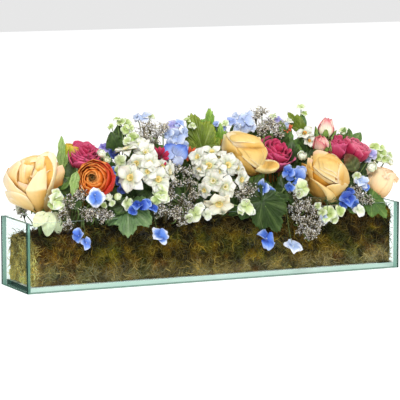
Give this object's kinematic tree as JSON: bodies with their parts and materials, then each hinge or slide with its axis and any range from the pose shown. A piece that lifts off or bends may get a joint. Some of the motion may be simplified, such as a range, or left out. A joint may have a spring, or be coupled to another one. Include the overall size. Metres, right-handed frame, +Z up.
{
  "type": "floral table centerpiece",
  "caption": "Long flower arrangement of roses, ranunculus, peonies, narcissus, hydrangea, leaves and filler sprays, planted in moss in a clear rectangular glass trough.",
  "frame": {"origin": "centre of the glass trough's underside, on the surface it rests on", "axes": "+X along the trough to its right end, -Y to the front, +Z up"},
  "size_m": [0.6348, 0.1747, 0.2542],
  "materials": {
    "glass": "clear, green at the edges",
    "moss": "matte, shaggy",
    "foam": "matte",
    "rose_petal": "satin",
    "ranunculus_petal": "satin",
    "yellow_petal": "satin",
    "crimson_petal": "satin",
    "pink_petal": "satin",
    "white_petal": "satin",
    "blue_petal": "satin",
    "lime_petal": "satin",
    "leaf": "satin",
    "stem": "satin",
    "filler": "matte"
  },
  "bodies": {
    "root": {"filler_back": "filler", "filler_centre": "filler", "filler_left": "filler", "filler_right": "filler", "filler_top_left": "filler", "filler_top_right": "filler", "floral_foam": "foam", "glass_back_panel": "glass", "glass_base": "glass", "glass_front_panel": "glass", "glass_left_end": "glass", "glass_right_end": "glass", "hydrangea_back_left": "blue_petal", "hydrangea_back_right": "blue_petal", "hydrangea_blue_left": "blue_petal", "hydrangea_blue_low_centre": "blue_petal", "hydrangea_blue_mid_right": "blue_petal", "hydrangea_blue_right": "blue_petal", "hydrangea_blue_top_centre": "blue_petal", "hydrangea_blue_top_left": "blue_petal", "hydrangea_blue_upper_left": "blue_petal", "hydrangea_green_centre": "lime_petal", "hydrangea_green_end": "lime_petal", "hydrangea_green_left": "lime_petal", "hydrangea_green_right": "lime_petal", "hydrangea_green_top_left": "lime_petal", "leaf_front_left": "leaf", "leaf_front_right": "leaf", "leaf_sprig_back": "leaf", "leaf_sprig_left": "leaf", "leaf_sprig_right": "leaf", "leaf_sprig_top_right": "leaf", "leaf_top_centre": "leaf", "lime_bracts_left": "lime_petal", "moss_bed": "moss", "narcissus_back": "white_petal", "narcissus_centre": "white_petal", "narcissus_left": "white_petal", "narcissus_right": "white_petal", "peony_back": "crimson_petal", "peony_centre": "crimson_petal", "peony_left": "crimson_petal", "peony_right": "crimson_petal", "ranunculus_back": "ranunculus_petal", "ranunculus_crimson": "crimson_petal", "ranunculus_orange": "ranunculus_petal", "ranunculus_yellow": "yellow_petal", "rose_back_left_bloom": "rose_petal", "rose_back_left_stem": "stem", "rose_back_right_bloom": "rose_petal", "rose_back_right_stem": "stem", "rose_centre_bloom": "rose_petal", "rose_centre_stem": "stem", "rose_end_bloom": "rose_petal", "rose_end_stem": "stem", "rose_left_bloom": "rose_petal", "rose_left_stem": "stem", "rose_right_bloom": "rose_petal", "rose_right_stem": "stem", "rosebud_spray": "pink_petal"}
  },
  "joints": []
}
